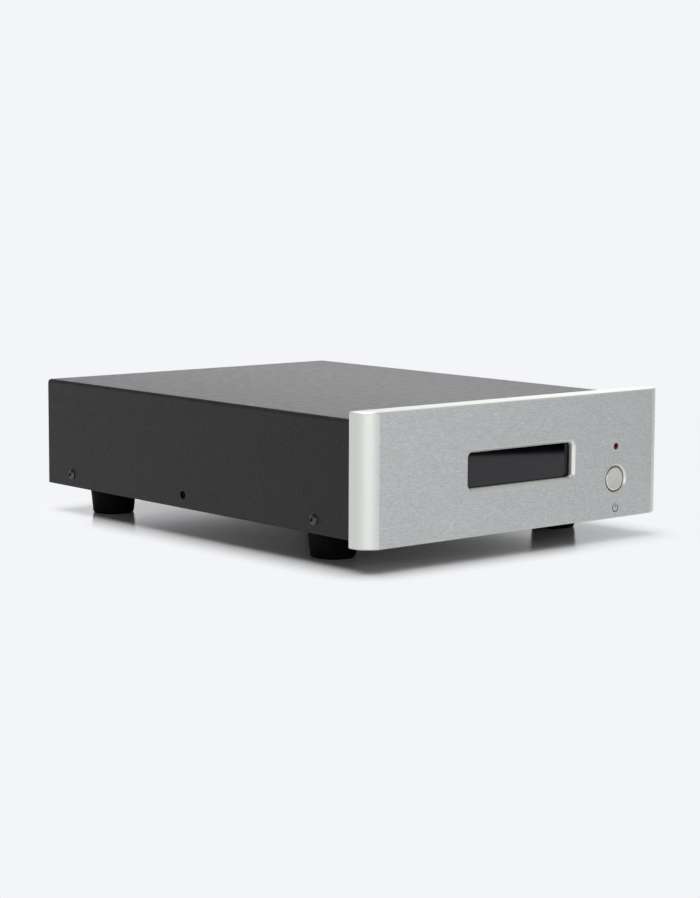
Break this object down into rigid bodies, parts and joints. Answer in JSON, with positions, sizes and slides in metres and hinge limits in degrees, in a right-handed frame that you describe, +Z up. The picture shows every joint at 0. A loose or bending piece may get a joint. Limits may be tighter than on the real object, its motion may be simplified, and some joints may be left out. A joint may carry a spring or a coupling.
{
  "type": "network music streamer",
  "caption": "Half-width network music streamer with a thick brushed-metal front, display window, power button and lamp, folded black case, tapered feet and rear sockets.",
  "frame": {"origin": "on the surface that the feet stand on, under the middle of the whole width and depth", "axes": "+X to the right seen from the front, +Y from the front panel to the rear sockets, +Z up"},
  "size_m": [0.21, 0.2878, 0.0791],
  "materials": {
    "brushed_aluminium": "brushed along its length and anodised",
    "satin_aluminium": "satin, anodised",
    "dark_aluminium": "black anodised",
    "black_powder_coat": "fine-textured powder coat",
    "black_steel": "black oxide",
    "zinc_steel": "zinc plated",
    "foot_plastic": "moulded, fine texture",
    "black_rubber": "matt",
    "smoked_acrylic": "clear gloss, smoke tinted",
    "display_glass": "polished",
    "circuit_board": "solder mask",
    "brass": "turned",
    "red_lamp": "moulded clear red",
    "black_plastic": "moulded",
    "ivory_plastic": "moulded",
    "white_plastic": "moulded",
    "grey_plastic": "extruded",
    "green_plastic": "moulded",
    "brown_lead": "extruded",
    "red_lead": "extruded",
    "wrapped_coil": "wound core wrapped in film",
    "capacitor_sleeve": "shrunk sleeve",
    "nickel_plate": "nickel plated",
    "gold_plate": "gold plated",
    "fuse_glass": "clear, with metal caps"
  },
  "bodies": {
    "root": {"front_panel": "brushed_aluminium", "top_cover": "black_powder_coat", "base_tray": "black_powder_coat", "rear_panel": "black_powder_coat", "panel_screws": "black_steel", "cover_screws": "black_steel", "clinch_nuts": "zinc_steel", "rear_screws": "black_steel", "foot_front_left": "foot_plastic", "foot_front_right": "foot_plastic", "foot_rear_left": "foot_plastic", "foot_rear_right": "foot_plastic", "foot_screws": "zinc_steel", "display_gasket": "black_rubber", "display_lens": "smoked_acrylic", "display_glass": "display_glass", "display_pad": "black_rubber", "front_board": "circuit_board", "front_posts": "brass", "front_board_screws": "zinc_steel", "switch_body": "black_plastic", "power_lamp": "red_lamp", "main_board": "circuit_board", "board_posts": "brass", "board_screws": "zinc_steel", "processor_module": "circuit_board", "processor_heatsink": "dark_aluminium", "board_chips": "black_plastic", "ribbon_cable": "grey_plastic", "ribbon_headers": "ivory_plastic", "transformer_coil": "wrapped_coil", "transformer_pads": "black_rubber", "transformer_plate": "zinc_steel", "transformer_bolt": "zinc_steel", "transformer_nut": "zinc_steel", "supply_board": "circuit_board", "filter_capacitors": "capacitor_sleeve", "regulators": "black_plastic", "regulator_heatsink": "dark_aluminium", "bridge_rectifier": "black_plastic", "terminal_blocks": "green_plastic", "mains_leads": "brown_lead", "coil_leads": "red_lead", "supply_leads": "black_plastic", "mains_inlet": "black_plastic", "inlet_blades": "nickel_plate", "socket_screws": "black_steel", "socket_nuts": "zinc_steel", "network_jack": "nickel_plate", "usb_jack": "nickel_plate", "coaxial_jack": "gold_plate", "coaxial_insulator": "white_plastic", "coaxial_nut": "gold_plate", "optical_jack": "black_plastic", "balanced_socket": "black_plastic"},
    "button": {"button_cap": "satin_aluminium", "switch_plunger": "ivory_plastic"},
    "drawer": {"fuse_drawer": "black_plastic", "fuse": "fuse_glass"},
    "shutter": {"optical_shutter": "black_plastic"}
  },
  "joints": [
    {"name": "button_press", "type": "slide", "parent": "root", "child": "button", "axis": [0, 1, 0], "range_m": [0, 0.0012], "stiffness_N_per_m": 1500},
    {"name": "drawer_pull", "type": "slide", "parent": "root", "child": "drawer", "axis": [0, 1, 0], "range_m": [0, 0.018]},
    {"name": "shutter_swing", "type": "hinge", "parent": "root", "child": "shutter", "pos_m": [-0.02555, 0.1337, 0.04], "axis": [-1, 0, 0], "range_deg": [0, 80], "stiffness_Nm_per_rad": 0.0003}
  ]
}
